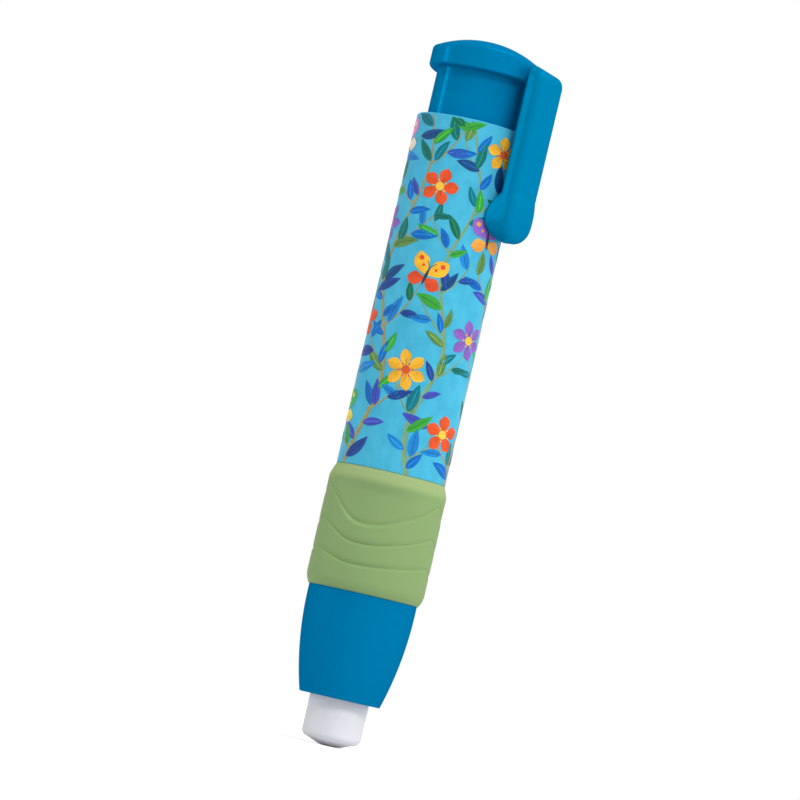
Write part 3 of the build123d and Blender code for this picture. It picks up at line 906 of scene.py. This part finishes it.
def add_leaves(leaves, spine, spacing, first_side):
    """Leaves on both sides of a stem in turn, at a slant, each with a paler or darker midrib."""
    side = first_side
    for at in range(2, len(spine) - 1, max(1, round(spacing / STEP))):
        (x, y), (next_x, next_y) = spine[at], spine[at + 1]
        length = brush.uniform(*LEAF_LENGTH)
        heading = atan2(next_y - y, next_x - x) + side * radians(brush.uniform(*LEAF_SLANT))
        middle = (x + cos(heading) * length / 2, y + sin(heading) * length / 2)
        side = -side
        if not clear_of_motifs(middle, MOTIF_ROOM):
            continue
        colour = brush.choice(LEAF_COLOURS)
        layer = LEAF_LAYER + LAYER_STEP * (at % 4)
        bend = radians(brush.uniform(*LEAF_BEND))
        half_width = length * brush.uniform(*LEAF_HALF_WIDTH_SHARE)
        line = petal(leaves, (x, y), heading, bend, length, half_width, tones(colour), layer)
        rib = faded(colour, RIB_PALE if brush.random() < 0.5 else RIB_DARK)
        widths = [RIB_HALF_WIDTH] * (len(line) - 3)
        stroke(leaves, line[1:-2], widths, tones(rib, SLIGHT_SPREAD), layer + LAYER_STEP / 2, across=1)


stems = new_print()
leaves = new_print()
for vine in range(VINES):
    base = VINE_START + vine * VINE_SPACING
    sway, wave = brush.uniform(*VINE_SWAY), brush.uniform(*VINE_WAVE)
    phase = brush.uniform(0, tau)
    rise = round((PRINT_TOP - PRINT_BOTTOM) / STEP)
    heights = [PRINT_BOTTOM + STEP * step for step in range(rise + 1)]
    main = [(base + sway * sin(tau * height / wave + phase), height) for height in heights]
    colour = STEM_COLOURS[vine % len(STEM_COLOURS)]
    widths = [STEM_HALF_WIDTH - STEM_LOSS * step / rise for step in range(rise + 1)]
    stroke(stems, main, widths, tones(colour), STEM_LAYER, across=2)
    add_leaves(leaves, main, brush.uniform(*VINE_LEAF_SPACING), brush.choice((-1, 1)))
    side = brush.choice((-1, 1))
    for start in range(FIRST_SHOOT, rise - NO_SHOOT_ABOVE, SHOOT_EVERY):
        heading = pi / 2 - side * radians(brush.uniform(*SHOOT_SLANT))
        length = brush.uniform(*SHOOT_LENGTH)
        bend = side * radians(brush.uniform(*SHOOT_BEND))
        shoot = bent_line(main[start], heading, bend, length, round(length / STEP))
        points = len(shoot)
        widths = [SHOOT_HALF_WIDTH - SHOOT_LOSS * step / points for step in range(points)]
        stroke(stems, shoot, widths, tones(colour), STEM_LAYER + LAYER_STEP, across=2)
        add_leaves(leaves, shoot, SHOOT_LEAF_SPACING, side)
        side = -side
finish_print(stems, "vine_stems")
finish_print(leaves, "vine_leaves")

# %% [markdown]
# A blossom has five or six petals round a heart, a vein on each petal, and a speck of the heart's
# colour between each two. Petals that are next to each other lie on different layers.

# %% Blossoms
BLOSSOM_COLOURS = ((228, 84, 40), (135, 95, 185), (226, 120, 185), (240, 178, 50), (238, 222, 200))
HEART_COLOURS = ((245, 200, 70), (240, 190, 60), (250, 225, 120), (215, 90, 45), (225, 130, 60))
BLOSSOM_SIZE = (2.7, 3.3)
PETAL_SPREAD = 0.2
PETAL_ROOT = 0.25
PETAL_BEND = 0.2
PETAL_FILL = 1.75
PETAL_FULLNESS = 1.35
VEIN_REACH = 0.55
VEIN_HALF_WIDTHS = [0.1, 0.04]
VEIN_SHADE = 0.72
HEART_RADIUS = 0.75
SPECK_RADIUS = 0.16
SPECK_REACH = 1.1


def away(middle, heading, reach):
    """The flat place at a distance from another, in a direction."""
    return (middle[0] + cos(heading) * reach, middle[1] + sin(heading) * reach)


blossoms = new_print()
for number, (along, height, kind) in enumerate(motifs):
    if kind == BUTTERFLY:
        continue
    petals = 5 if kind == ROUND_BLOSSOM else 6
    size = brush.uniform(*BLOSSOM_SIZE)
    half_width = size * PETAL_FILL / petals
    colour = BLOSSOM_COLOURS[number % len(BLOSSOM_COLOURS)]
    middle = (along, height)
    turned = brush.uniform(0, tau)
    for each in range(petals):
        heading = turned + tau * each / petals
        layer = FLOWER_LAYER + LAYER_STEP * (each % 2)
        root = away(middle, heading, PETAL_ROOT)
        petal_tones = tones(colour, PETAL_SPREAD)
        petal(blossoms, root, heading, PETAL_BEND, size, half_width, petal_tones, layer,
              PETAL_FULLNESS)
        vein = [root, away(middle, heading, size * VEIN_REACH)]
        vein_tones = tones(faded(colour, VEIN_SHADE), SLIGHT_SPREAD)
        vein_layer = FLOWER_LAYER + 2 * LAYER_STEP
        stroke(blossoms, vein, VEIN_HALF_WIDTHS, vein_tones, vein_layer, across=1)
    heart = HEART_COLOURS[number % len(HEART_COLOURS)]
    dot(blossoms, middle, HEART_RADIUS, heart, FLOWER_LAYER + 3 * LAYER_STEP)
    for each in range(petals):
        speck = away(middle, turned + tau * (each + 0.5) / petals, SPECK_REACH)
        dot(blossoms, speck, SPECK_RADIUS, heart, FLOWER_LAYER + 3 * LAYER_STEP)
finish_print(blossoms, "print_blossoms")

# %% [markdown]
# A butterfly is four petals for its wings, the lower ones under the upper ones, with two spots on
# each upper wing, a slim body and two feelers. Each one is turned a little away from upright.

# %% Butterflies
WING_COLOURS = (
    ((232, 88, 42), (245, 190, 80)), ((140, 100, 195), (240, 160, 70)), ((60, 165, 75), (240, 215, 80)),
    ((232, 135, 190), (240, 225, 205)), ((245, 185, 55), (220, 80, 45)),
)
BODY_COLOUR = (52, 56, 74)
BUTTERFLY_LEAN = (-35, 35)
UPPER_WING, UPPER_HALF_WIDTH, UPPER_BEND, UPPER_FULLNESS = 4.3, 1.35, 0.35, 1.3
LOWER_WING, LOWER_HALF_WIDTH, LOWER_BEND, LOWER_FULLNESS = 3.1, 1.15, 0.4, 1.2
UPPER_SLANT, LOWER_SLANT = radians(48), radians(118)
UPPER_ROOT, LOWER_ROOT = 0.3, 0.2
WING_SPOTS = ((0.42, 0.26), (0.72, 0.42))
SPOT_TURN = 0.15
BODY_LENGTH, BODY_HALF_WIDTH, BODY_FULLNESS = 3.2, 0.26, 1.0
HEAD_REACH = 1.5
FEELER_TURN, FEELER_BEND, FEELER_LENGTH, FEELER_STEPS = 0.35, 0.6, 1.5, 4
FEELER_HALF_WIDTH = 0.05
TOP_LAYER = FLOWER_LAYER + 3 * LAYER_STEP

butterflies = new_print()
for number, (along, height, kind) in enumerate(motifs):
    if kind != BUTTERFLY:
        continue
    wing, spot = WING_COLOURS[number // 2 % len(WING_COLOURS)]
    up = pi / 2 + radians(brush.uniform(*BUTTERFLY_LEAN))
    forward = Vector((cos(up), sin(up)))
    middle = Vector((along, height))
    lower_root, upper_root = middle - forward * LOWER_ROOT, middle + forward * UPPER_ROOT
    head, tail = middle + forward * HEAD_REACH, middle - forward * HEAD_REACH
    for side in (-1, 1):
        upper_heading, lower_heading = up - side * UPPER_SLANT, up - side * LOWER_SLANT
        petal(butterflies, tuple(lower_root), lower_heading, side * LOWER_BEND, LOWER_WING,
              LOWER_HALF_WIDTH, tones(spot), FLOWER_LAYER, LOWER_FULLNESS)
        petal(butterflies, tuple(upper_root), upper_heading, side * UPPER_BEND, UPPER_WING,
              UPPER_HALF_WIDTH, tones(wing), FLOWER_LAYER + LAYER_STEP, UPPER_FULLNESS)
        spot_heading = upper_heading + side * SPOT_TURN
        spot_line = Vector((cos(spot_heading), sin(spot_heading)))
        for share, radius in WING_SPOTS:
            spot_place = upper_root + spot_line * UPPER_WING * share
            dot(butterflies, spot_place, radius, spot, FLOWER_LAYER + 2 * LAYER_STEP)
        feeler = bent_line(tuple(head), up - side * FEELER_TURN, -side * FEELER_BEND, FEELER_LENGTH,
                           FEELER_STEPS)
        widths = [FEELER_HALF_WIDTH] * len(feeler)
        stroke(butterflies, feeler, widths, tones(BODY_COLOUR, SLIGHT_SPREAD), TOP_LAYER, across=1)
    petal(butterflies, tuple(tail), up, 0, BODY_LENGTH, BODY_HALF_WIDTH, tones(BODY_COLOUR),
          TOP_LAYER, BODY_FULLNESS)
finish_print(butterflies, "print_butterflies")
